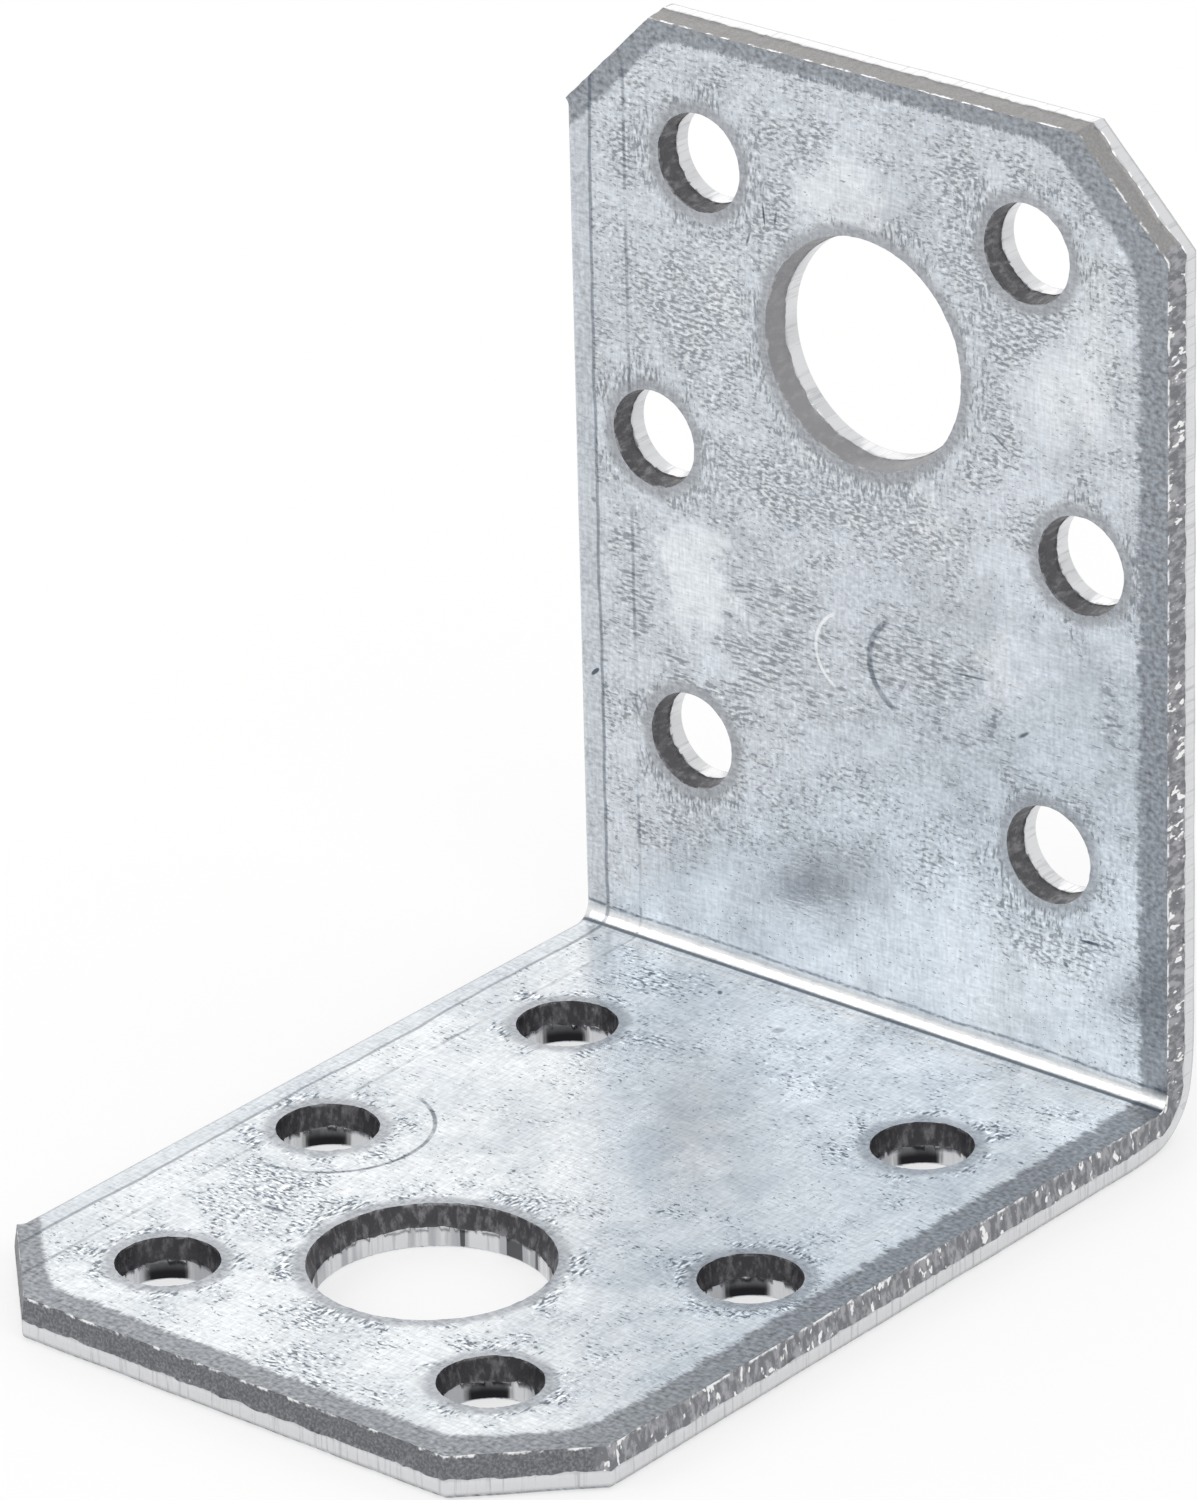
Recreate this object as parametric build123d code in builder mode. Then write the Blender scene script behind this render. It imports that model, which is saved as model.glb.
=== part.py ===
from build123d import *
import os
from math import atan, degrees

# Angle bracket, punched and folded from one strip of zinc-coated steel. Millimetres.
# X runs across the strip, the seat leg lies along Y and the upright leg rises along Z.
# The origin is on the ground, under the middle of the seat leg.

# Strip and fold
strip_width = 35.5
sheet_thickness = 2.15
seat_length = 48.5
upright_length = 50.0
inside_bend_radius = 0.8
corner_cut = 5.2

# Hole pattern, the same in both legs: each row is a pair of nail holes, and its
# setback is measured from the free end of the leg
end_row_setback = 6.7
end_row_spacing = 19.2
middle_row_setback = 21.4
middle_row_spacing = 25.3
heel_row_setback = 36.6
heel_row_spacing = 21.4
nail_hole_radius = 2.3
bolt_hole_setback = 14.0
bolt_hole_radius = 5.5

# Sheared walls: straight where the tool cut them, flared where the steel broke away.
# The rim on the cut side is drawn over
break_depth = 1.15
outline_flare = 0.15
nail_hole_flare = 0.15
bolt_hole_flare = 0.27
hole_rim_chamfer = 0.15
punched_edge_radius = 0.35
slit_edge_radius = 0.6

# Where the faces of the two legs lie
outside_bend_radius = inside_bend_radius + sheet_thickness
back_y = seat_length / 2
front_y = back_y - seat_length
upright_inside_y = back_y - sheet_thickness

# Each plane starts at the middle of a leg's free end, on the inside face, with its Y towards the heel
seat_plane = Plane((0, front_y, sheet_thickness), x_dir=(1, 0, 0), z_dir=(0, 0, 1))
upright_plane = Plane((0, upright_inside_y, upright_length), x_dir=(-1, 0, 0), z_dir=(0, -1, 0))


def seat_faces():
    """The seat leg's underside and top, as they are now."""
    level = bracket.faces().filter_by(Axis.Z).sort_by(Axis.Z)
    return level[0], level[1]


def upright_faces():
    """The upright leg's inside and back, as they are now."""
    standing = bracket.faces().filter_by(Axis.Y).sort_by(Axis.Y)
    return standing[1], standing[-1]


def outline(face, leg_plane):
    """The edges round a leg's face from the slit side (-X) across, without its fold line."""
    toward_heel = Axis(leg_plane.origin, leg_plane.y_dir)
    fold_line = face.edges().sort_by(toward_heel)[-1:]
    return (face.edges() - fold_line).sort_by(Axis.X)


def punched_hole(radius, flare):
    """A hole punched from outside the fold: a straight land, then a flare to the inside face."""
    flare_angle = 2 * degrees(atan(flare / break_depth))
    CounterSinkHole(radius, radius + flare, counter_sink_angle=flare_angle)


with BuildPart() as bracket:
    # The folded strip: an L section with the two radii of the bend
    with BuildSketch(Plane.YZ) as section:
        with BuildLine():
            Polyline(
                (front_y, 0),
                (back_y, 0),
                (back_y, upright_length),
                (upright_inside_y, upright_length),
                (upright_inside_y, sheet_thickness),
                (front_y, sheet_thickness),
                close=True,
            )
        make_face()
        heel_corner, inner_corner = section.vertices().sort_by_distance((back_y, 0, 0))[:2]
        fillet(heel_corner, outside_bend_radius)
        fillet(inner_corner, inside_bend_radius)
    extrude(amount=strip_width / 2, both=True)

    # The four free corners are cut off at 45 degrees
    front_corners = bracket.edges().filter_by(Axis.Z).group_by(Axis.Y)[0]
    top_corners = bracket.edges().filter_by(Axis.Y).group_by(Axis.Z)[-1]
    chamfer(front_corners + top_corners, corner_cut)

    # The slit side broke away towards the outside of the fold, all along and round the bend
    underside, seat_top = seat_faces()
    slit_edge = outline(underside, seat_plane)[0]
    chamfer(slit_edge, outline_flare, break_depth, reference=underside)

    # The other side, the ends and the corners broke away towards the inside.
    # The seat's right edge takes the upright's with it, round the bend
    underside, seat_top = seat_faces()
    chamfer(outline(seat_top, seat_plane)[1:], outline_flare, break_depth, reference=seat_top)
    upright_inside, upright_back = upright_faces()
    top_edges = outline(upright_inside, upright_plane)[1:-1]
    chamfer(top_edges, outline_flare, break_depth, reference=upright_inside)

    # The rims opposite are drawn over: outside on the punched edges, inside on the slit one
    underside, seat_top = seat_faces()
    upright_inside, upright_back = upright_faces()
    punched_rims = outline(underside, seat_plane)[1:] + outline(upright_back, upright_plane)[1:]
    fillet(punched_rims, punched_edge_radius)
    underside, seat_top = seat_faces()
    fillet(outline(seat_top, seat_plane)[0], slit_edge_radius)

    # Three rows of nail holes and one bolt hole in each leg
    nail_rows = [
        (end_row_setback, end_row_spacing),
        (middle_row_setback, middle_row_spacing),
        (heel_row_setback, heel_row_spacing),
    ]
    for leg_plane in (seat_plane, upright_plane):
        with Locations(leg_plane):
            for setback, spacing in nail_rows:
                with Locations((-spacing / 2, setback), (spacing / 2, setback)):
                    punched_hole(nail_hole_radius, nail_hole_flare)
            with Locations((0, bolt_hole_setback)):
                punched_hole(bolt_hole_radius, bolt_hole_flare)

    # The outside rim of each hole is drawn over too
    underside, seat_top = seat_faces()
    upright_inside, upright_back = upright_faces()
    hole_rims = underside.inner_wires().edges() + upright_back.inner_wires().edges()
    chamfer(hole_rims, hole_rim_chamfer)

bracket.part.label = "bracket"
os.makedirs("parts", exist_ok=True)
export_step(bracket.part, "parts/bracket.step")
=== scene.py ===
import math

import bmesh
import bpy
from mathutils import Matrix, Vector, noise


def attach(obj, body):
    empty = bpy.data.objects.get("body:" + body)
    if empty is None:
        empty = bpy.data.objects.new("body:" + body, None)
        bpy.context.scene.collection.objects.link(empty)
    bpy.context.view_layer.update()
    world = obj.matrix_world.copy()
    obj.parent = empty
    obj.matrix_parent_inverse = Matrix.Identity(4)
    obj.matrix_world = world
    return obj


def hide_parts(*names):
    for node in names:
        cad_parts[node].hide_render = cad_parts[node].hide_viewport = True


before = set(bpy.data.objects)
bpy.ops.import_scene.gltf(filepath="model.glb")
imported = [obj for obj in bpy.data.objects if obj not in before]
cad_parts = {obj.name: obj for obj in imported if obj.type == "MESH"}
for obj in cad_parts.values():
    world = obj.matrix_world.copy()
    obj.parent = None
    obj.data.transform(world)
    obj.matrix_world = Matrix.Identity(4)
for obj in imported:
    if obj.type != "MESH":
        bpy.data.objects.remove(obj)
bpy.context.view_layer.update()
scene = bpy.context.scene
print("frame loaded")


# Plate: sheared edges, punched holes and one fold. Millimetres, as in the CAD source
plate = {
    "width": 35.5,
    "thickness": 2.15,
    "seatLength": 48.5,
    "uprightLength": 50.0,
    "insideBend": 0.8,
    "cornerCut": 5.2,
    "nailRadius": 2.3,
    "boltRadius": 5.5,
    "nailRows": ((6.7, 19.2), (21.4, 25.3), (36.6, 21.4)),  # setback from the free end, spacing
    "boltSetback": 14.0,
    "breakDepth": 1.15,  # the torn share of a sheared wall
    "edgeFlare": 0.15,
    "nailFlare": 0.15,
    "boltFlare": 0.27,
    "edgeRollover": 0.35,
    "slitRollover": 0.6,
    "holeRollover": 0.15,
    "outsideRow": 0.06,  # flat rows of faces beside the rims
    "insideRows": (0.12, 0.2),
    "edgeStep": 0.2,  # spacing of the points along the outline
    "nailPoints": 96,
    "boltPoints": 208,
    "bendRows": 14,
    "foldCuts": 70,  # faces across the strip in each row of the fold
    "tearStep": 0.03,  # how far the tear starts in from the land
    "toothHeight": 0.16,  # how far the torn zone wanders up and down
    "tornRoughness": 0.045,
    "burrHeight": 0.05,
    "slitTear": 0.1,  # how much lower the tear starts along the slit side
    "slitBlend": 0.5,  # length over which the wall turns over at the slit side's ends
    "endNecking": 0.3,  # the outside of the fold draws in at its ends
    "neckingWidth": 3.0,
}

seatFlat = plate["seatLength"] - plate["thickness"] - plate["insideBend"]
bendLength = math.pi / 2 * (plate["insideBend"] + plate["thickness"] / 2)
uprightStart = seatFlat + bendLength
stripEnd = uprightStart + plate["uprightLength"] - plate["thickness"] - plate["insideBend"]
halfWidth = plate["width"] / 2
backY = plate["seatLength"] / 2
frontY = -backY
outsideBend = plate["insideBend"] + plate["thickness"]
holdGap = 0.1  # flat rows beside the fold keep the legs' shading flat
landFrom, tornFrom, tornTo = 4, 7, 13  # rows of the wall where the land and the tear start, and the rim's row

# The plate's materials, in the order of its slots
uprightZinc, shearedLand, tornWall, seatZinc, outsideZinc = range(5)


# Centre across and along the flat strip, radius, flare and points of each hole.
def holeList():
    holes = []
    for fromEnd in (lambda d: d, lambda d: stripEnd - d):
        for setback, spacing in plate["nailRows"]:
            for x in (-spacing / 2, spacing / 2):
                holes.append((x, fromEnd(setback), plate["nailRadius"], plate["nailFlare"], plate["nailPoints"]))
        holes.append((0, fromEnd(plate["boltSetback"]), plate["boltRadius"], plate["boltFlare"], plate["boltPoints"]))
    return holes


# Rows of (set in, height) from the outside face up to the inside one: rounded rim, land, tear.
def wallProfile(rollover, flare, tearHeight):
    step, thick = plate["tearStep"], plate["thickness"]
    rows = [(rollover + plate["outsideRow"], 0.0)]
    for k in range(5):
        turn = math.radians(22.5 * k)
        rows.append((rollover * (1 - math.sin(turn)), rollover * (1 - math.cos(turn))))
    rows.append((0.0, (rollover + tearHeight) / 2))
    rows.append((0.0, tearHeight))
    for k in range(6):
        share = k / 5
        rows.append((step + (flare - step) * share, tearHeight + step + (thick - tearHeight - step) * share))
    return rows + [(flare + gap, thick) for gap in plate["insideRows"]]


# Distances along the strip at which rows of faces cross the fold.
def foldStations():
    rows = [seatFlat + bendLength * k / plate["bendRows"] for k in range(plate["bendRows"] + 1)]
    return [seatFlat - holdGap] + rows + [uprightStart + holdGap]


# For each closed loop of the flat outline: nominal place, inward normal and kind, in order.
def ringPoints(loops):
    points = []
    for loop in loops:
        count = len(loop["places"])
        for i, place in enumerate(loop["places"]):
            before, after = loop["places"][i - 1], loop["places"][(i + 1) % count]
            a = (place - before).normalized()
            b = (after - place).normalized()
            normalA, normalB = Vector((-a.y, a.x)), Vector((-b.y, b.x))
            inward = (normalA + normalB).normalized()
            inward /= max(inward.dot(normalA), 0.5)
            points.append({"place": place, "inward": inward, "hole": loop["hole"]})
    return points


# The strip's outline, counter-clockwise, so that its left side is the sheet.
def outlineLoop():
    cut = plate["cornerCut"]
    right = [(halfWidth, s) for s in [cut] + foldStations() + [stripEnd - cut]]
    corners = [(-halfWidth + cut, 0), (halfWidth - cut, 0)] + right
    corners += [(halfWidth - cut, stripEnd), (-halfWidth + cut, stripEnd)]
    corners += [(-x, s) for x, s in reversed(right)]
    places = []
    for i, corner in enumerate(corners):
        here, there = Vector(corner), Vector(corners[(i + 1) % len(corners)])
        cuts = max(1, round((there - here).length / plate["edgeStep"]))
        places += [here.lerp(there, k / cuts) for k in range(cuts)]
    return {"places": places, "hole": None}


# A hole's circle, clockwise, so that its left side is the sheet.
def holeLoop(hole):
    x, s, radius, flare, count = hole
    angles = [-2 * math.pi * k / count for k in range(count)]
    places = [Vector((x + radius * math.cos(angle), s + radius * math.sin(angle))) for angle in angles]
    return {"places": places, "hole": hole}


# Coarse roughness of the torn wall at one place, from -1 to 1.
def coarseTear(place, height):
    return noise.noise(Vector((place.x * 2.6, place.y * 2.6, height * 1.6 + 11)))


# The wall's rows at one point of the outline, as places in the flat strip, and whether they are turned over there.
def rowsAt(point):
    place, hole = point["place"], point["hole"]
    thick = plate["thickness"]
    seed = Vector((place.x, place.y, 0))
    tooth = noise.noise(seed * 0.9) * 0.9 + noise.noise(seed * 3.1 + Vector((7, 3, 0))) * 0.5
    tear = thick - plate["breakDepth"] + plate["toothHeight"] * tooth
    if hole:
        rows = wallProfile(plate["holeRollover"], hole[3], tear)
        slit = 0.0
    else:
        rollover = plate["edgeRollover"] * (1 + 0.25 * noise.noise(seed * 0.35 + Vector((0, 0, 5))))
        rows = wallProfile(rollover, plate["edgeFlare"], tear)
        fromCorner = min(place.y, stripEnd - place.y) - plate["cornerCut"]
        onSlitSide = place.x < -halfWidth + 0.01
        slit = min(max(fromCorner / plate["slitBlend"], 0), 1) if onSlitSide else 0.0
    placed = []
    for row, (inset, height) in enumerate(rows):
        if tornFrom < row <= tornTo:
            fine = noise.noise(seed * 7 + Vector((0, 0, height * 5)))
            share = 0.4 if row == tornTo else 1
            inset += plate["tornRoughness"] * (coarseTear(place, height) + 0.5 * fine) * share
        if row == tornTo:
            burr = noise.noise(seed * 1.7 + Vector((2, 9, 4))) + 0.8 * noise.noise(seed * 5 + Vector((1, 2, 8)))
            height += plate["burrHeight"] * max(burr, 0)
        placed.append([max(inset, 0.0), height])
    if slit > 0:
        mirrored = wallProfile(plate["slitRollover"], plate["edgeFlare"], tear - plate["slitTear"])
        for row in range(len(placed)):
            opposite = len(mirrored) - 1 - row
            inset, height = mirrored[opposite]
            if tornFrom < opposite <= tornTo:
                inset = max(inset + plate["tornRoughness"] * coarseTear(place, height), 0.0)
            placed[row][0] += (inset - placed[row][0]) * slit
            placed[row][1] += (thick - height - placed[row][1]) * slit
    return [(place + point["inward"] * inset, height) for inset, height in placed], slit > 0.5


# From the flat strip to the folded one.
def fold(co):
    x, s, height = co
    thick, inside = plate["thickness"], plate["insideBend"]
    middle = (s - seatFlat - bendLength / 2) / bendLength
    nearEnd = max(0.0, 1 - (halfWidth - abs(x)) / plate["neckingWidth"]) ** 2
    draw = plate["endNecking"] * math.exp(-(middle * 1.3) ** 2) * nearEnd * (1 - height / thick)
    x -= math.copysign(draw, x)
    if s <= seatFlat:
        return Vector((x, frontY + s, height))
    if s >= uprightStart:
        return Vector((x, backY - height, thick + inside + s - uprightStart))
    turn = (s - seatFlat) / bendLength * math.pi / 2
    radius = inside + thick - height
    return Vector((x, backY - thick - inside + radius * math.sin(turn), thick + inside - radius * math.cos(turn)))


# Rows of quads through the fold, on the face that ringVerts goes round. Returns the two lines where the legs start.
def acrossFold(bm, ringVerts):
    cuts, sideBand = plate["foldCuts"], 1.2
    sides = [v for v in ringVerts if abs(abs(v.co.x) - halfWidth) < sideBand]
    lines = []
    for s in foldStations():
        here = sorted((v for v in sides if abs(v.co.y - s) < 1e-4), key=lambda v: v.co.x)
        left, right = here[0], here[-1]
        between = [bm.verts.new(left.co.lerp(right.co, k / cuts)) for k in range(1, cuts)]
        chain = [left] + between + [right]
        lines.append([bm.edges.new(pair) for pair in zip(chain, chain[1:])])
    for low, high in zip(lines, lines[1:]):
        bmesh.ops.bridge_loops(bm, edges=low + high)
    return lines[0], lines[-1]


# Which zinc a plain face gets, from its centre on the folded plate.
def zincSlot(middle):
    reach = math.hypot(max(middle.y - backY + outsideBend, 0), max(outsideBend - middle.z, 0))
    if reach > plate["insideBend"] + plate["thickness"] / 2:
        return outsideZinc
    return seatZinc if middle.y + middle.z < backY + plate["insideBend"] else uprightZinc


# The whole plate, grown up the walls from the outside face in the flat, then filled, folded and scaled to metres.
def buildPlate():
    bm = bmesh.new()
    loops = [outlineLoop()] + [holeLoop(hole) for hole in holeList()]
    points = ringPoints(loops)
    placed = [rowsAt(point) for point in points]
    rowCount = len(placed[0][0])
    order = bm.verts.layers.int.new("order")

    # First row: closed rings of edges on the outside face
    start = 0
    for loop in loops:
        ring = []
        for k in range(len(loop["places"])):
            flat, height = placed[start + k][0][0]
            v = bm.verts.new((flat.x, flat.y, height))
            v[order] = start + k
            ring.append(v)
        for k in range(len(ring)):
            bm.edges.new((ring[k - 1], ring[k]))
        start += len(ring)
    ringEdges = bm.edges[:]
    base = bm.verts[:]

    # The other rows grow from it, up the wall and over the rim
    for row in range(1, rowCount):
        grown = bmesh.ops.extrude_edge_only(bm, edges=ringEdges)["geom"]
        for v in (g for g in grown if isinstance(g, bmesh.types.BMVert)):
            flat, height = placed[v[order]][0][row]
            v.co = (flat.x, flat.y, height)
        for f in (g for g in grown if isinstance(g, bmesh.types.BMFace)):
            mirrored = placed[f.verts[0][order]][1]
            low = rowCount - 1 - row if mirrored else row - 1
            if tornFrom <= low < tornTo:
                f.material_index = tornWall
            elif landFrom <= low < tornFrom:
                f.material_index = shearedLand
            else:
                f.material_index = uprightZinc  # a grown face copies its neighbour's slot
        ringEdges = [g for g in grown if isinstance(g, bmesh.types.BMEdge)]
        ringVerts = [g for g in grown if isinstance(g, bmesh.types.BMVert)]

    # Both faces: rows through the fold and a fill for each leg
    for verts in (base, ringVerts):
        inRing = set(verts)
        ring = [e for e in bm.edges if e.verts[0] in inRing and e.verts[1] in inRing]
        seatRing = [e for e in ring if max(v.co.y for v in e.verts) < seatFlat - holdGap + 1e-3]
        uprightRing = [e for e in ring if min(v.co.y for v in e.verts) > uprightStart + holdGap - 1e-3]
        seatLine, uprightLine = acrossFold(bm, verts)
        for edges in (seatRing + seatLine, uprightRing + uprightLine):
            bmesh.ops.triangle_fill(bm, use_beauty=True, use_dissolve=False, edges=edges, normal=(0, 0, 1))

    loose = [v for v in bm.verts if not v.link_faces]
    print("loose", len(loose), "open edges", sum(1 for e in bm.edges if len(e.link_faces) != 2))
    for v in bm.verts:
        v.co = fold(v.co)
    bmesh.ops.recalc_face_normals(bm, faces=bm.faces[:])
    bmesh.ops.scale(bm, vec=(0.001, 0.001, 0.001), verts=bm.verts[:])
    for f in bm.faces:
        f.smooth = True
        if f.material_index == uprightZinc:
            f.material_index = zincSlot(f.calc_center_median() * 1000)
    mesh = bpy.data.meshes.new("zincedPlate")
    bm.to_mesh(mesh)
    bm.free()
    mesh.set_sharp_from_angle(angle=math.radians(50))
    made = bpy.data.objects.new("zinced_plate", mesh)
    scene.collection.objects.link(made)
    return made


plateObject = buildPlate()
print("plate built:", sum(len(p.vertices) - 2 for p in plateObject.data.polygons), "triangles")


# A node with its inputs linked or set, by name or number
def put(tree, kind, inputs=None, **settings):
    made = tree.nodes.new(kind)
    for name, value in settings.items():
        setattr(made, name, value)
    for key, value in (inputs or {}).items():
        if isinstance(value, bpy.types.NodeSocket):
            tree.links.new(value, made.inputs[key])
        else:
            made.inputs[key].default_value = value
    return made


def calc(tree, operation, a, b=0.0, c=0.0):
    return put(tree, "ShaderNodeMath", {0: a, 1: b, 2: c}, operation=operation).outputs[0]


# Several values joined by one operation
def joined(tree, operation, values):
    result = values[0]
    for value in values[1:]:
        result = calc(tree, operation, result, value)
    return result


def total(tree, *values):
    return joined(tree, "ADD", values)


def times(tree, *values):
    return joined(tree, "MULTIPLY", values)


def most(tree, *values):
    return joined(tree, "MAXIMUM", values)


def least(tree, *values):
    return joined(tree, "MINIMUM", values)


def less(tree, a, b):
    return calc(tree, "SUBTRACT", a, b)


# low at start and before, high at end and after, smooth between
def fade(tree, value, start, end, low=0.0, high=1.0):
    ends = {"Value": value, "From Min": start, "From Max": end, "To Min": low, "To Max": high}
    return put(tree, "ShaderNodeMapRange", ends, interpolation_type="SMOOTHSTEP").outputs[0]


# A line at that value, at its full strength out to the width and gone at the reach
def lineAt(tree, value, middle, width, reach, strength=1.0):
    return fade(tree, calc(tree, "ABSOLUTE", less(tree, value, middle)), width, reach, strength, 0.0)


# One number or another, by a share
def blend(tree, share, a, b):
    return put(tree, "ShaderNodeMix", {0: share, 2: a, 3: b}, data_type="FLOAT").outputs[0]


# One colour or another, by a share
def tone(tree, share, a, b, kind="MIX"):
    a = a if isinstance(a, bpy.types.NodeSocket) else (*a, 1)
    b = b if isinstance(b, bpy.types.NodeSocket) else (*b, 1)
    return put(tree, "ShaderNodeMix", {0: share, 6: a, 7: b}, data_type="RGBA", blend_type=kind).outputs[2]


def noiseNode(tree, vector, scale, detail, roughness):
    inputs = {"Vector": vector, "Scale": scale, "Detail": detail, "Roughness": roughness}
    return put(tree, "ShaderNodeTexNoise", inputs)


# Noise from about 0.2 to 0.8
def grain(tree, vector, scale, detail=2.0, roughness=0.5):
    return noiseNode(tree, vector, scale, detail, roughness).outputs["Fac"]


def turned(tree, vector, angle=0.0, scale=(1, 1, 1), place=(0, 0, 0)):
    inputs = {"Vector": vector, "Rotation": (0, 0, math.radians(angle)), "Scale": scale, "Location": place}
    return put(tree, "ShaderNodeMapping", inputs).outputs[0]


def vectorMath(tree, operation, a, b=(0, 0, 0), c=(0, 0, 0), output=0):
    return put(tree, "ShaderNodeVectorMath", {0: a, 1: b, 2: c}, operation=operation).outputs[output]


# Soft ovals on a leg, added up: x, along the leg, half length, half width, angle, strength
def ovals(tree, vector, spots, core=0.2):
    result = 0.0
    for x, along, length, width, angle, strength in spots:
        place = {"Vector": vector, "Location": (x, along, 0), "Scale": (length, width, 1),
                 "Rotation": (0, 0, math.radians(angle))}
        local = put(tree, "ShaderNodeMapping", place, vector_type="TEXTURE").outputs[0]
        reach = vectorMath(tree, "LENGTH", local, output="Value")
        result = total(tree, fade(tree, reach, core, 1.0, strength, 0.0), result)
    return result


# Thin part of a circle: centre, radius, half width of the line, the way it bulges and how far round it goes
def arc(tree, vector, x, along, radius, width, way, reach):
    local = vectorMath(tree, "SUBTRACT", vector, (x, along, 0))
    out = vectorMath(tree, "LENGTH", local, output="Value")
    angle = math.radians(way)
    toward = vectorMath(tree, "DOT_PRODUCT", local, (math.cos(angle), math.sin(angle), 0), output="Value")
    limit, soft = radius * math.cos(math.radians(reach)), radius * 0.1
    line = lineAt(tree, out, radius, width * 0.4, width)
    return times(tree, line, fade(tree, toward, limit - soft, limit + soft))


def startMaterial(name):
    made = bpy.data.materials.new(name)
    made.use_nodes = True
    tree = made.node_tree
    return made, tree, tree.nodes["Principled BSDF"]


# A metal with its colour, roughness and bump; the bump's distance is in metres
def finishMaterial(tree, shader, colour, rough, height, distance, strength):
    bump = put(tree, "ShaderNodeBump", {"Height": height, "Distance": distance, "Strength": strength})
    tree.links.new(colour, shader.inputs["Base Color"])
    tree.links.new(rough, shader.inputs["Roughness"])
    tree.links.new(bump.outputs[0], shader.inputs["Normal"])
    shader.inputs["Metallic"].default_value = 1.0


# Millimetre coordinates: the place itself, the unfolded strip, which leg, and the depth below the outside face
def placeNodes(tree):
    coords = put(tree, "ShaderNodeTexCoord").outputs["Object"]
    place = turned(tree, coords, scale=(1000, 1000, 1000))
    x, y, z = put(tree, "ShaderNodeSeparateXYZ", {0: place}).outputs
    run = total(tree, y, z)
    past = most(tree, less(tree, y, backY - outsideBend), 0.0)
    under = most(tree, less(tree, outsideBend, z), 0.0)
    far = calc(tree, "SQRT", total(tree, times(tree, past, past), times(tree, under, under)))
    return {
        "place": place, "x": x, "y": y, "z": z,
        "strip": put(tree, "ShaderNodeCombineXYZ", {0: x, 1: run}).outputs[0],
        "onUpright": calc(tree, "GREATER_THAN", run, backY + plate["insideBend"]),
        "past": past, "under": under, "depth": less(tree, outsideBend, far),
        "right": less(tree, halfWidth, x), "left": total(tree, halfWidth, x),
        "front": less(tree, y, frontY), "top": less(tree, plate["uprightLength"], z),
    }


# Distance from a corner cut, from the distances to the two edges that it joins
def cutDistance(tree, side, end):
    return times(tree, less(tree, total(tree, side, end), plate["cornerCut"]), math.sqrt(0.5))


# Distance on one leg's sheet from the nearest hole's rim; place is (x, y) on the seat and (x, z) on the upright
def holeDistance(tree, place, onSeat):
    gaps = []
    for x, s, radius, flare, count in holeList():
        if (s < seatFlat) == onSeat:
            along = frontY + s if onSeat else plate["uprightLength"] - (stripEnd - s)
            apart = vectorMath(tree, "DISTANCE", place, (x, along, 0), output="Value")
            gaps.append(less(tree, apart, radius + flare))
    return least(tree, *gaps)


# 1 on the walls of the holes, 0 on the outline's walls
def inHoles(tree, at):
    side = least(tree, at["right"], at["left"])
    end = least(tree, at["front"], at["top"])
    return fade(tree, least(tree, side, end, cutDistance(tree, side, end)), 0.8, 1.2)


# 1 between the walls of the bolt holes, 0 at the nail holes
def nearMiddle(tree, at):
    radius = plate["boltRadius"]
    return fade(tree, calc(tree, "ABSOLUTE", at["x"]), radius + 0.5, radius + 0.9, 1.0, 0.0)


# Zinc faces: light brushed zinc with zones of fine dark pits, grey rings round the holes and dull margins
zinc = {
    "cloud": (0.45, 0.49, 0.53),
    "blue": (0.38, 0.43, 0.50),
    "pit": (0.03, 0.048, 0.075),
    "fleck": (0.92, 0.94, 0.96),
    "ring": (0.27, 0.285, 0.31),
    "foldHighlight": (0.80, 0.81, 0.82),  # painted highlight along the inside of the fold
    "roughness": 0.28,
    "sideMargin": 1.75,
    "ringWidth": 0.55,
    "stripWidth": 1.55,  # smooth strip along the slit side
    "secondLine": 3.65,  # from the slit side to the fainter line beside it
    "lines": 0.55,  # strength of the fine lines
    "mottle": 1.1,  # strength of the fine mottling
}

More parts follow.
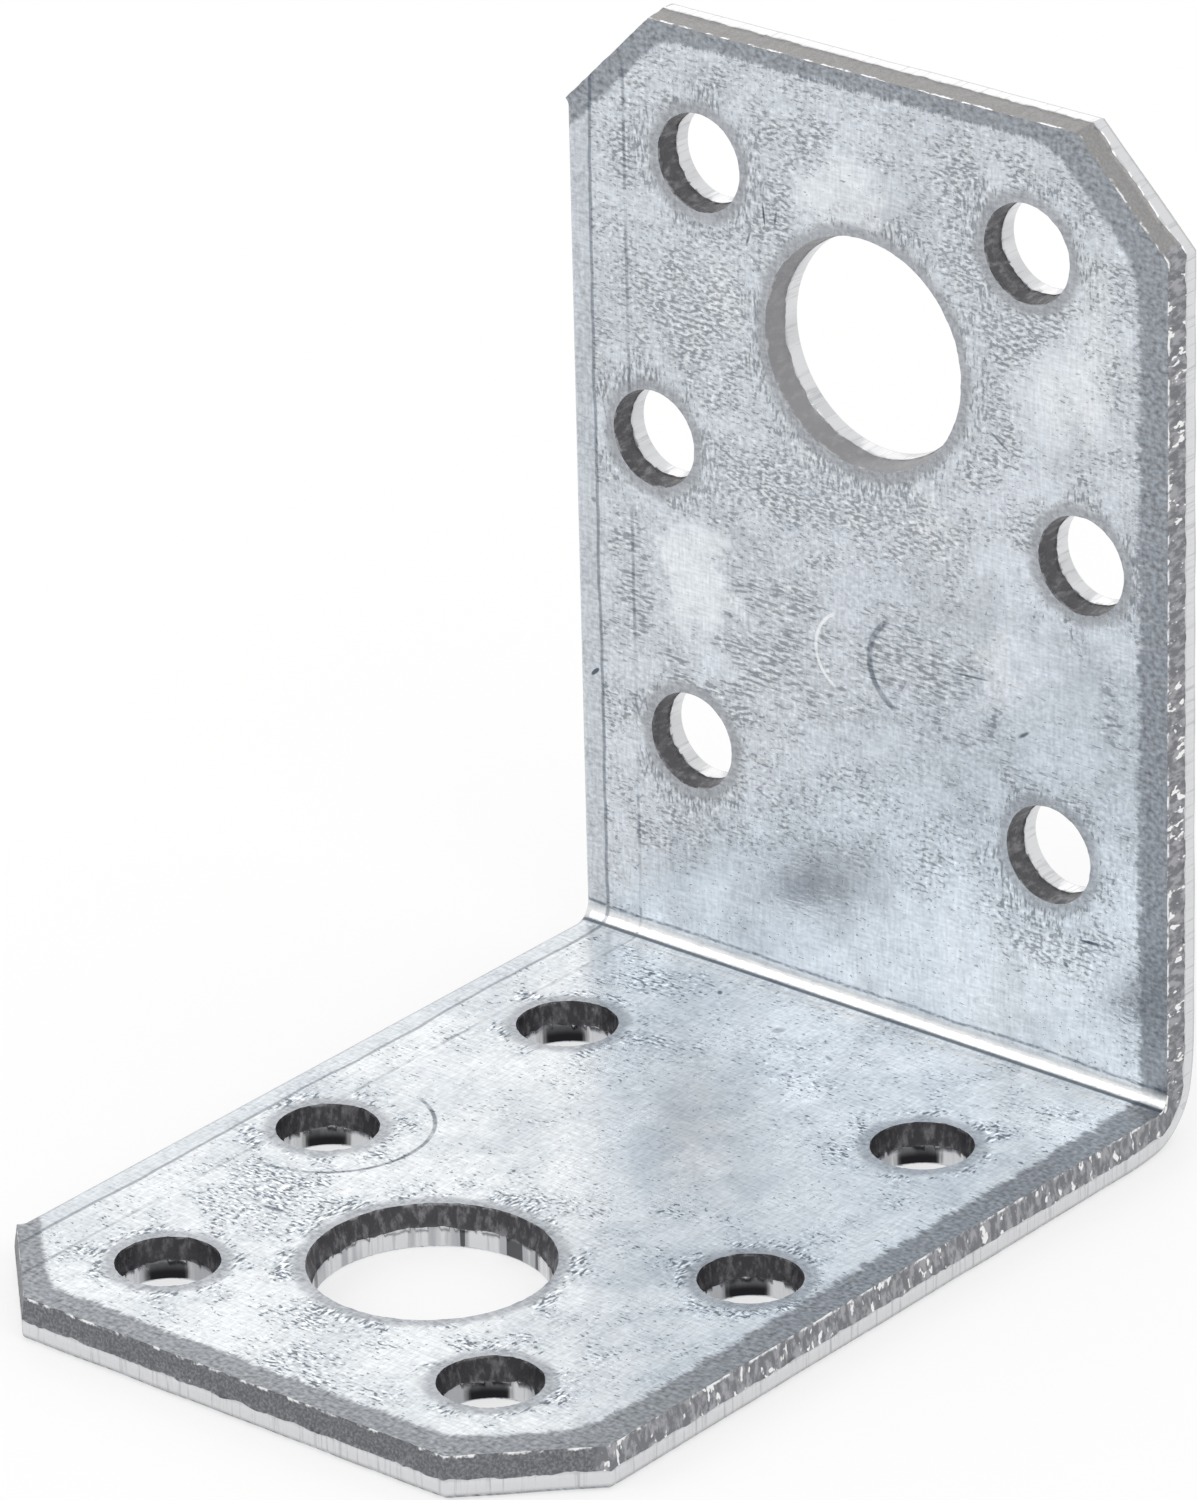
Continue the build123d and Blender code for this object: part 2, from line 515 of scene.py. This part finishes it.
# What is where on each leg. Places are (x, z) on the upright and (x, y) on the seat.
# Ovals: place, half length, half width, angle, strength. Arcs: centre, radius, half width, way, reach, darkness
legs = {
    "upright": {
        "light": (0.65, 0.70, 0.758),
        "patches": 0.6,
        "endMargin": 1.0,
        "margin": (0.24, 0.265, 0.30),
        "evenPits": 0.50,
        "haloPits": 0.34,
        "pitDepth": 1.0,
        "pits": (
            (-6.3, 42.5, 2.4, 4.0, 0, 0.6), (-10.0, 35.5, 5.4, 5.5, 0, 0.6), (-8.0, 28.0, 4.6, 2.6, 0, 0.75),
            (-1.0, 28.4, 8.0, 2.8, 0, 1.0), (-3.5, 45.8, 3.8, 2.6, 0, 0.4), (7.3, 40.6, 5.0, 2.8, -55, 0.75),
            (6.5, 45.2, 3.4, 2.8, 0, 0.5), (7.2, 34.4, 3.2, 3.2, 0, 0.35), (-6.0, 20.0, 6.0, 6.5, 0, 0.5),
            (-12.5, 43.5, 3.4, 4.0, 0, 0.4),
            (3.4, 21.0, 6.0, 3.6, 0, 0.5), (-14.2, 20.0, 1.6, 12.0, 0, 0.35), (-11.0, 9.8, 3.8, 2.2, 0, 0.55),
            (10.5, 9.2, 4.0, 1.7, 0, 0.6), (14.6, 22.0, 0.9, 3.0, 0, 0.5),
        ),
        "clear": (
            (-0.5, 43.8, 4.2, 2.6, 0, 0.7), (11.8, 36.0, 3.6, 4.0, 0, 0.5), (-10.2, 22.0, 2.6, 3.8, 0, 1.0),
            (10.5, 25.0, 5.4, 9.0, 0, 0.35), (0.0, 3.5, 19.0, 7.0, 0, 0.8), (-8.8, 17.4, 1.6, 1.4, 0, 0.5),
        ),
        "blue": (
            (-4.6, 7.2, 3.4, 1.2, 28, 0.6), (0.9, 8.6, 2.0, 1.2, 20, 0.35), (-12.0, 7.0, 3.0, 3.0, 0, 0.25),
            (-3.6, 27.0, 3.2, 1.8, 0, 0.4), (1.2, 24.0, 5.0, 6.0, 0, 0.2),
        ),
        "pale": (
            (-10.2, 22.0, 2.6, 3.6, 0, 0.8), (-0.8, 43.6, 3.4, 2.4, 0, 0.7), (11.8, 36.5, 2.4, 2.8, 0, 0.6),
            (8.2, 22.0, 1.8, 3.0, 0, 0.6), (9.0, 6.0, 6.0, 4.5, 0, 0.4), (13.6, 40.0, 2.0, 6.0, 0, 0.45),
            (-8.5, 37.0, 1.6, 2.0, 0, 0.5), (4.0, 28.5, 1.8, 1.4, 0, 0.6),
        ),
        "scratches": (
            (-5.75, 41.6, 0.75, 0.08, 96, 1.0), (-5.05, 41.6, 0.5, 0.1, 80, 0.8), (-6.7, 40.2, 0.5, 0.09, 70, 0.8),
            (-16.62, 15.45, 0.4, 0.13, 42, 2.0), (9.3, 19.15, 0.5, 0.12, 35, 0.9), (-16.45, 24.5, 0.22, 0.18, 0, 0.6),
            (11.7, 8.0, 0.24, 0.16, -40, 0.9), (6.2, 21.3, 1.4, 0.08, 4, 0.8), (8.0, 33.6, 0.9, 0.1, -35, 0.7),
            (13.2, 9.55, 0.8, 0.12, 2, 1.0),
        ),
        "arcs": ((-0.9, 20.5, 2.1, 0.12, 180, 62, 0.0), (2.7, 20.7, 2.5, 0.22, 185, 60, 0.6)),
    },
    "seat": {
        "light": (0.635, 0.66, 0.682),
        "patches": 0.25,
        "endMargin": 1.6,
        "margin": (0.26, 0.275, 0.295),
        "evenPits": 0.12,
        "haloPits": 0.45,
        "pitDepth": 0.72,
        "pits": (
            (-11.0, 18.5, 4.6, 3.0, 0, 0.55), (0.5, 15.5, 5.0, 3.4, 0, 0.22), (-6.0, 12.5, 2.8, 3.4, 0, 0.5),
            (0.0, -3.2, 5.4, 2.2, 0, 0.5), (-10.5, -9.5, 5.4, 5.2, 0, 0.65), (0.0, -17.8, 5.2, 2.4, 0, 0.5),
            (-9.5, -18.5, 6.0, 3.6, 0, 0.6), (2.0, -21.6, 6.0, 2.4, 0, 0.5), (13.5, 19.0, 3.0, 2.0, 0, 0.3),
        ),
        "clear": (
            (0.0, 7.0, 6.0, 5.0, -45, 0.5), (7.0, 5.0, 6.0, 4.0, 0, 0.4), (-10.0, 5.5, 3.0, 3.0, 0, 0.5),
            (5.0, -16.0, 1.8, 2.6, 0, 0.5), (-4.5, -20.0, 3.0, 1.2, 0, 0.6), (-5.0, 1.5, 3.0, 2.5, 0, 0.4),
        ),
        "blue": ((1.5, 3.5, 5.5, 1.6, -50, 0.45), (-12.5, 4.5, 2.2, 2.2, 0, 0.3), (-1.0, 8.5, 3.0, 1.6, -45, 0.3)),
        "pale": (
            (2.6, 13.5, 1.8, 1.8, 0, 0.7), (3.0, 5.5, 2.6, 1.4, -45, 0.5), (8.0, -9.0, 2.6, 2.0, 0, 0.4),
            (6.5, 12.0, 1.6, 2.4, 0, 0.3),
        ),
        "scratches": (
            (-7.0, 19.35, 0.3, 0.17, -50, 1.0), (-9.2, -10.65, 0.9, 0.22, 4, 0.9), (-10.4, -10.5, 0.6, 0.12, -8, 0.6),
            (-2.2, 17.8, 0.5, 0.35, 50, 0.5), (14.6, 18.7, 0.3, 0.22, 0, 0.6), (1.6, 16.9, 0.4, 0.14, -20, 0.6),
            (-10.2, 17.3, 0.35, 0.16, 30, 0.7), (-3.2, -18.2, 0.25, 0.12, 60, 0.6),
        ),
        "arcs": ((-12.65, -2.6, 4.85, 0.14, -10, 80, 0.75),),
    },
    "outside": {
        "light": (0.67, 0.705, 0.745),
        "patches": 0.6,
        "endMargin": 0.5,
        "margin": (0.40, 0.42, 0.45),
        "evenPits": 0.3,
        "pitDepth": 0.8,
    },
}


# Noises that the zinc's parts share, all round 0: fine lines of the coil and the press across and along the strip,
# fine mottling, ragged edges, middling patches and broad clouds
def zincNoises(tree, strip):
    vectors = {
        "across": (turned(tree, strip, 1.5, (0.8, 6.5, 1)), 1.0, 2, 0.6),
        "lengthwise": (turned(tree, strip, -1.0, (6.5, 0.8, 1), (3, 8, 0)), 1.0, 2, 0.6),
        "mottle": (turned(tree, strip, 0, (3.6, 4.4, 1), (9, 1, 0)), 1.0, 1, 0.5),
        "ragged": (strip, 1.1, 4, 0.65),
        "patch": (turned(tree, strip, place=(13, 5, 0)), 0.45, 4, 0.65),
        "cloud": (turned(tree, strip, 0, (0.16, 0.12, 1)), 1.0, 4, 0.6),
    }
    return {name: less(tree, grain(tree, *values), 0.5) for name, values in vectors.items()}


# The leg's coordinates, shifted by noise so that the zones' outlines wander
def drifted(tree, strip, leg):
    drift = noiseNode(tree, strip, 0.5, 3.0, 0.65).outputs["Color"]
    drift = vectorMath(tree, "SUBTRACT", drift, (0.5, 0.5, 0.5))
    return vectorMath(tree, "MULTIPLY_ADD", drift, (6, 6, 0), leg)


# Noise for the pits: rows across the strip, short strokes along it beside the holes, dashes low on the upright
def speckNodes(tree, side, at, noises, nearHole):
    strip = at["strip"]
    rows = speck = grain(tree, turned(tree, strip, 3.0, (2.9, 6.2, 1)), 1.0, 1.5, 0.5)
    if side != "outside":
        strokes = grain(tree, turned(tree, strip, -3.0, (6.0, 2.1, 1), (7, 2, 0)), 1.0, 1.5, 0.5)
        strokeZone = times(tree, nearHole, fade(tree, noises["cloud"], -0.1, 0.0))
        speck = blend(tree, strokeZone, speck, strokes)
    if side == "upright":
        dashes = grain(tree, turned(tree, strip, 6.0, (1.4, 6.0, 1), (1, 9, 0)), 1.0, 1.5, 0.5)
        dashZone = times(tree, fade(tree, at["z"], 12, 18, 0.0, 0.7), fade(tree, at["z"], 22, 27, 1.0, 0.0))
        speck = blend(tree, dashZone, speck, dashes)
    return rows, speck


# The dull margin of the sheared edges: toothed on the right, narrow at the free ends, round at the corner cuts
def marginNodes(tree, side, at, noises):
    width, lengthwise, ragged = zinc["sideMargin"], noises["lengthwise"], noises["ragged"]
    if side == "outside":
        fromEnd = least(tree, at["front"], at["top"])
    else:
        fromEnd = at["top" if side == "upright" else "front"]
    teeth = less(tree, grain(tree, turned(tree, at["strip"], 0, (0.4, 3.2, 1)), 1.0, 3, 0.7), 0.5)
    toRight = total(tree, at["right"], times(tree, teeth, 1.3))
    toEnd = times(tree, total(tree, fromEnd, times(tree, lengthwise, 0.5)), width / legs[side]["endMargin"])
    toCuts = least(tree, cutDistance(tree, at["right"], fromEnd),
                   times(tree, cutDistance(tree, at["left"], fromEnd), 1.4))
    toMargin = calc(tree, "SMOOTH_MIN", calc(tree, "SMOOTH_MIN", toRight, toEnd, 3.0), toCuts, 2.0)
    return fade(tree, total(tree, toMargin, ragged), width - 0.15, width + 0.25, 1.0, 0.0)


# The smooth strip along the slit side, and the two lines beside it
def slitNodes(tree, at, noises):
    width = zinc["stripWidth"]
    waver = total(tree, at["left"], times(tree, noises["cloud"], 0.7))
    smooth = fade(tree, waver, width - 0.1, width + 0.1, 1.0, 0.0)
    second = times(tree, lineAt(tree, at["left"], zinc["secondLine"], 0.04, 0.14),
                   fade(tree, noises["patch"], -0.1, 0.1, 0.2, 0.9))
    return smooth, most(tree, lineAt(tree, waver, width, 0.05, 0.14), second)


# The fold: a painted highlight across its middle, painted shade in the crease below it and along its upper edge
def foldNodes(tree, at, noises, rows, inFold):
    turn = calc(tree, "ARCTAN2", at["past"], most(tree, at["under"], 0.0001))
    # Painted highlight across the fold's middle
    foldHighlight = times(tree, inFold, fade(tree, turn, 0.55, 0.9), fade(tree, turn, 1.2, 1.57, 1.0, 0.3),
                    fade(tree, noises["ragged"], -0.25, 0.15, 0.45, 1.0))
    # Painted shade: a dark line in the crease, and one along the fold's upper edge
    creaseShade = times(tree, inFold, lineAt(tree, turn, 0.5, 0.06, 0.16, 0.75))
    above = less(tree, at["z"], times(tree, noises["cloud"], 0.5))
    foldEdgeShade = times(tree, lineAt(tree, above, outsideBend + 0.16, 0.03, 0.13), fade(tree, rows, 0.35, 0.55, 0.2, 0.6))
    return foldHighlight, most(tree, creaseShade, foldEdgeShade)


def zincMaterial(side):
    made, tree, shader = startMaterial("zinc_" + side)
    at, own, inside = placeNodes(tree), legs[side], side != "outside"
    noises = zincNoises(tree, at["strip"])
    patch, ragged, cloud, mottle = (noises[name] for name in ("patch", "ragged", "cloud", "mottle"))

    # Rings round the holes, and how dense the pits are
    dense = total(tree, times(tree, patch, 2.4), own["evenPits"])
    nearHole = ring = 0.0
    if inside:
        leg = put(tree, "ShaderNodeCombineXYZ", {0: at["x"], 1: at["y" if side == "seat" else "z"]}).outputs[0]
        loose = drifted(tree, at["strip"], leg)
        toHole = holeDistance(tree, leg, side == "seat")
        nearHole = fade(tree, toHole, 0.4, 2.8, 1.0, 0.0)
        ring = fade(tree, total(tree, toHole, times(tree, ragged, 0.9)),
                    zinc["ringWidth"] * 0.5, zinc["ringWidth"] * 1.6, 1.0, 0.0)
        halo = times(tree, nearHole, fade(tree, patch, -0.12, 0.12), own["haloPits"] * 2)
        dense = total(tree, ovals(tree, loose, own["pits"]), halo, dense)
        dense = less(tree, dense, ovals(tree, loose, own["clear"], 0.45))
    dense = put(tree, "ShaderNodeClamp", {0: dense}).outputs[0]

    # Margins, the slit side's strip and the fold, which keep most pits out
    margin = marginNodes(tree, side, at, noises)
    smooth, groove = slitNodes(tree, at, noises)
    inFold = times(tree, fade(tree, at["past"], 0.0, 0.06), fade(tree, at["under"], -0.02, 0.02))
    keep = fade(tree, most(tree, ring, margin, smooth, inFold), 0.0, 1.0, 1.0, 0.15)

    # Dark pits in the noise's peaks, bright flecks in its troughs
    rows, speck = speckNodes(tree, side, at, noises, nearHole)
    level = put(tree, "ShaderNodeMapRange", {0: dense, 3: 0.67, 4: 0.515}).outputs[0]
    clumped = total(tree, speck, times(tree, ragged, 0.3), times(tree, mottle, 0.12))
    pits = times(tree, fade(tree, less(tree, clumped, level), 0.0, 0.045), keep)
    flecks = times(tree, fade(tree, less(tree, less(tree, 1.0, speck), level), 0.0, 0.10), keep,
                   fade(tree, dense, 0.1, 0.7))

    # Colours, from the broad clouds to the marks
    broad = fade(tree, total(tree, cloud, times(tree, patch, own["patches"])), -0.10, 0.28)
    colour = tone(tree, broad, own["light"], zinc["cloud"])
    colour = tone(tree, times(tree, dense, 0.8), colour, zinc["cloud"])
    if inside:
        colour = tone(tree, times(tree, ovals(tree, loose, own["blue"], 0.0), 0.7), colour, zinc["blue"])
        colour = tone(tree, times(tree, ovals(tree, loose, own["pale"], 0.45), 0.45), colour, zinc["fleck"])
    colour = tone(tree, times(tree, flecks, 0.7), colour, zinc["fleck"])
    colour = tone(tree, times(tree, smooth, 0.5), colour, zinc["cloud"])
    colour = tone(tree, times(tree, ring, 0.75), colour, zinc["ring"])
    colour = tone(tree, margin, colour, own["margin"])
    mottled = times(tree, mottle, total(tree, fade(tree, dense, 0, 0.6, 0.35, 1.0), margin), zinc["mottle"])
    lines = total(tree, 1.0, times(tree, noises["across"], zinc["lines"]),
                  times(tree, noises["lengthwise"], zinc["lines"]), mottled)
    linesColour = put(tree, "ShaderNodeCombineXYZ", {0: lines, 1: lines, 2: lines}).outputs[0]
    colour = tone(tree, 1.0, colour, linesColour, "MULTIPLY")
    pitDepth = fade(tree, patch, -0.15, 0.15, 0.75 * own["pitDepth"], own["pitDepth"])
    colour = tone(tree, times(tree, pits, pitDepth), colour, zinc["pit"])
    if inside:
        foldHighlight, foldShade = foldNodes(tree, at, noises, rows, inFold)
        # Painted highlight along the fold
        colour = tone(tree, foldHighlight, colour, zinc["foldHighlight"])
        scratches = times(tree, least(tree, ovals(tree, leg, own["scratches"], 0.4), 1.0), 0.85)
        # Dark lines: the fold's painted shade, the slit side's grooves, scratches and the dark arcs
        dark = most(tree, foldShade, times(tree, groove, 0.5), scratches)
        for x, up, radius, width, way, reach, darkness in own["arcs"]:
            line = arc(tree, leg, x, up, radius, width, way, reach)
            if darkness:
                line = times(tree, line, fade(tree, ragged, -0.2, 0.1, darkness * 0.4, darkness))
                dark = most(tree, dark, line)
            else:
                line = times(tree, line, fade(tree, ragged, -0.2, 0.1, 0.4, 0.85))
                colour = tone(tree, line, colour, zinc["fleck"])
        colour = tone(tree, dark, colour, zinc["pit"])

    rough = total(tree, zinc["roughness"], times(tree, pits, 0.15), times(tree, margin, 0.12),
                  times(tree, inFold, -0.06), times(tree, cloud, 0.12))
    height = total(tree, times(tree, patch, 0.5), times(tree, rows, -0.6))
    finishMaterial(tree, shader, colour, rough, height, 0.00002, 0.7)
    return made


# Cut walls: the smooth land that the tool rubbed, darker where it turns into the outside face
sheared = {
    "colour": (0.70, 0.705, 0.72),
    "streak": (0.36, 0.37, 0.39),
    # black of the painted reflections in the holes
    "black": (0.02, 0.02, 0.022),
    "turnedOver": (0.30, 0.29, 0.28),
    "reflectionWay": (0.69, -0.72, 0),  # the way the nail holes' walls with the painted dark reflection face
    "roughness": 0.16,
}


# Noise drawn out through the sheet, along the way the tool went
def throughGrain(tree, at, fine, drawn, detail=3, place=(0, 0, 0)):
    seatVector = turned(tree, at["place"], scale=(fine, fine, drawn), place=place)
    uprightVector = turned(tree, at["place"], scale=(fine, drawn, fine), place=place)
    vectors = {0: at["onUpright"], 4: seatVector, 5: uprightVector}
    vector = put(tree, "ShaderNodeMix", vectors, data_type="VECTOR").outputs[1]
    return grain(tree, vector, 1.0, detail, 0.6)


def shearedMaterial():
    made, tree, shader = startMaterial("sheared_land")
    at = placeNodes(tree)
    inHole, middle, depth = inHoles(tree, at), nearMiddle(tree, at), at["depth"]
    onSeat = less(tree, 1.0, at["onUpright"])
    streak = throughGrain(tree, at, 5.0, 0.3)
    broad = throughGrain(tree, at, 0.7, 0.03, 2, (3, 3, 0))
    colour = tone(tree, fade(tree, streak, 0.5, 0.75, 0.0, 0.6), sheared["colour"], sheared["streak"])
    # Painted reflection: grey bars across the holes' land, strongest on the seat
    paintedGreyBars = times(tree, inHole, fade(tree, broad, 0.46, 0.56), fade(tree, onSeat, 0, 1, 0.2, 0.75))
    colour = tone(tree, paintedGreyBars, colour, sheared["streak"])

    # Painted reflections: the far side of the seat's nail holes gets the dark sheet painted in, and its bolt hole a
    # few painted black bars
    normal = put(tree, "ShaderNodeNewGeometry").outputs["Normal"]
    facing = total(tree, vectorMath(tree, "DOT_PRODUCT", normal, sheared["reflectionWay"], output="Value"),
                   times(tree, streak, 0.08))
    inBolt = times(tree, middle, inHole)
    paintedDarkReflection = times(tree, inHole, onSeat, less(tree, 1.0, inBolt), fade(tree, facing, 0.88, 0.98),
                  fade(tree, depth, 0.9, 0.4, 0.8, 1.0))
    paintedReflectionBars = times(tree, inBolt, onSeat, fade(tree, broad, 0.6, 0.62), 0.8)
    colour = tone(tree, most(tree, paintedDarkReflection, paintedReflectionBars), colour, sheared["black"])

    # The turned-over rim of the outline's walls, and the seam where the tear starts
    turnOver = times(tree, fade(tree, depth, 0.1, 0.42, 1.0, 0.0), less(tree, 1.0, inHole), 0.8)
    colour = tone(tree, turnOver, colour, sheared["turnedOver"])
    seam = times(tree, fade(tree, total(tree, depth, times(tree, streak, 0.2)), 0.95, 1.12), 0.35)
    colour = tone(tree, seam, colour, sheared["streak"])
    rough = total(tree, sheared["roughness"], times(tree, streak, 0.12))
    finishMaterial(tree, shader, colour, rough, streak, 0.00002, 0.4)
    return made


# Torn walls: dark, coarse steel, painted glints as bright flecks on the right edges, painted shade darkening the
# holes' walls to charcoal, a painted glint along the burr at the rim
torn = {
    "colour": (0.21, 0.215, 0.23),
    "pale": (0.40, 0.40, 0.42),
    # colour of the painted glints
    "fleck": (0.88, 0.88, 0.88),
    "plain": (0.29, 0.285, 0.28),  # the ends and corners of the upright
    "front": (0.14, 0.145, 0.158),
    # the holes' walls: painted shade, darkest in the seat's holes
    "hole": (0.085, 0.083, 0.09),
    "uprightHole": (0.12, 0.12, 0.127),
    "boltHole": (0.30, 0.30, 0.31),
    "roughness": 0.48,
}


def tornMaterial():
    made, tree, shader = startMaterial("torn_wall")
    at = placeNodes(tree)
    inHole, onUpright = inHoles(tree, at), at["onUpright"]
    onRight = fade(tree, at["x"], halfWidth - 0.6, halfWidth - 0.4)
    coarse = throughGrain(tree, at, 2.6, 1.3, 4)
    fine = grain(tree, at["place"], 7.0, 2, 0.6)

    # The front, the other ends and the right side
    colour = tone(tree, onUpright, torn["front"], torn["plain"])
    colour = tone(tree, fade(tree, fine, 0.35, 0.75, 0.0, 0.5), colour, torn["pale"])
    coarseTone = tone(tree, fade(tree, coarse, 0.42, 0.62), torn["colour"], torn["pale"])
    colour = tone(tree, onRight, colour, coarseTone)

    # The holes: painted shade, darkest in all the seat's holes, lighter in the upright's nail holes and lightest in
    # its bolt hole
    hole = tone(tree, nearMiddle(tree, at), torn["uprightHole"], torn["boltHole"])
    hole = tone(tree, onUpright, torn["hole"], hole)
    hole = tone(tree, fade(tree, coarse, 0.45, 0.75, 0.0, 0.55), hole, torn["pale"])
    colour = tone(tree, inHole, colour, hole)

    # Painted glints: bright flecks, most of them on the right side, and a bright line along the burr at the rim
    glintNoise = throughGrain(tree, at, 2.2, 1.2, 2, (4, 8, 2))
    flecks = fade(tree, less(tree, glintNoise, fade(tree, onRight, 0, 1, 0.76, 0.60)), 0.0, 0.04)
    rim = total(tree, at["depth"], times(tree, less(tree, fine, 0.5), 0.2))
    gaps = grain(tree, turned(tree, at["place"], place=(1, 5, 3)), 1.3, 3, 0.6)
    burr = times(tree, fade(tree, rim, plate["thickness"] - 0.16, plate["thickness"] - 0.04),
                 fade(tree, gaps, 0.48, 0.6))
    paintedGlints = times(tree, most(tree, flecks, burr), fade(tree, inHole, 0, 1, 1.0, 0.3))
    # Painted glints on the flecks and along the burr
    colour = tone(tree, paintedGlints, colour, torn["fleck"])
    rough = total(tree, torn["roughness"], times(tree, paintedGlints, -0.2))
    height = total(tree, times(tree, coarse, fade(tree, onRight, 0, 1, 0.35, 1.0)), times(tree, fine, 0.25))
    finishMaterial(tree, shader, colour, rough, height, 0.00012, 0.7)
    return made


materials = {
    uprightZinc: zincMaterial("upright"),
    shearedLand: shearedMaterial(),
    tornWall: tornMaterial(),
    seatZinc: zincMaterial("seat"),
    outsideZinc: zincMaterial("outside"),
}
for slot in sorted(materials):
    plateObject.data.materials.append(materials[slot])
print("materials made")


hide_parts("bracket")
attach(plateObject, "root")


# Camera: the photograph's angle, a long lens from in front and to the right
view = {
    "azimuth": 40.021,
    "elevation": 24.601,
    "roll": -1.374,
    "distance": 0.47434,
    "target": (-0.003595, 0.006686, 0.020524),
    "lens": 309.3,
}


def addCamera():
    az, el, roll = (math.radians(view[k]) for k in ("azimuth", "elevation", "roll"))
    back = Vector((math.sin(az) * math.cos(el), -math.cos(az) * math.cos(el), math.sin(el)))
    right = Vector((math.cos(az), math.sin(az), 0))
    up = back.cross(right)
    right, up = math.cos(roll) * right + math.sin(roll) * up, -math.sin(roll) * right + math.cos(roll) * up
    data = bpy.data.cameras.new("camera")
    data.sensor_fit = "HORIZONTAL"
    data.sensor_width = 36
    data.lens = view["lens"]
    data.clip_start = 0.01
    data.clip_end = 20
    made = bpy.data.objects.new("camera", data)
    pose = Matrix((right, up, back)).transposed().to_4x4()
    pose.translation = Vector(view["target"]) + back * view["distance"]
    made.matrix_world = pose
    scene.collection.objects.link(made)
    scene.camera = made


addCamera()
print("camera placed")


# Studio: white surroundings, a pale floor that keeps a soft shadow, three broad lamps
studio = {
    "worldStrength": 1.0,
    "worldLight": 0.95,
    "floorGlow": 0.6,
    "lampColour": (1.0, 0.975, 0.94),
    "lamps": (  # name, place, size, watts
        ("back_left", (-0.75, 0.75, 0.55), 0.9, 0.85),
        ("front_left", (-0.7, -0.75, 0.8), 0.9, 2.3),
        ("top_right", (0.7, -0.1, 1.0), 0.8, 1.5),
    ),
}


# 1 for what the camera sees, straight or mirrored, 0 for what only lights the plate
def seenDirectly(tree):
    rays = put(tree, "ShaderNodeLightPath").outputs
    return most(tree, rays["Is Camera Ray"], rays["Is Glossy Ray"], rays["Is Transmission Ray"])


def addStudio():
    world = bpy.data.worlds.new("studio")
    scene.world = world
    world.use_nodes = True
    tree = world.node_tree
    background = tree.nodes["Background"]
    background.inputs["Color"].default_value = (1, 1, 1, 1)
    strength = fade(tree, seenDirectly(tree), 0, 1, studio["worldLight"], studio["worldStrength"])
    tree.links.new(strength, background.inputs["Strength"])

    bm = bmesh.new()
    bmesh.ops.create_circle(bm, cap_ends=True, segments=64, radius=4.0)
    mesh = bpy.data.meshes.new("floor")
    bm.to_mesh(mesh)
    bm.free()
    floor = bpy.data.objects.new("floor", mesh)
    scene.collection.objects.link(floor)
    material = bpy.data.materials.new("floor")
    material.use_nodes = True
    tree = material.node_tree
    tree.nodes.clear()
    matte = put(tree, "ShaderNodeBsdfDiffuse", {"Color": (0.9, 0.9, 0.9, 1)})
    glow = put(tree, "ShaderNodeEmission", {"Color": (1, 1, 1, 1), "Strength": 1.0})
    share = times(tree, seenDirectly(tree), studio["floorGlow"])
    mixed = put(tree, "ShaderNodeMixShader", {0: share, 1: matte.outputs[0], 2: glow.outputs[0]})
    put(tree, "ShaderNodeOutputMaterial", {0: mixed.outputs[0]})
    mesh.materials.append(material)

    for name, place, size, watts in studio["lamps"]:
        data = bpy.data.lights.new(name, "AREA")
        data.shape = "DISK"
        data.size = size
        data.energy = watts
        data.color = studio["lampColour"]
        lamp = bpy.data.objects.new(name, data)
        lamp.location = place
        lamp.rotation_euler = (Vector((0, 0, 0.02)) - Vector(place)).to_track_quat("-Z", "Y").to_euler()
        scene.collection.objects.link(lamp)


addStudio()
scene.view_settings.view_transform = "Standard"
print("studio lit")
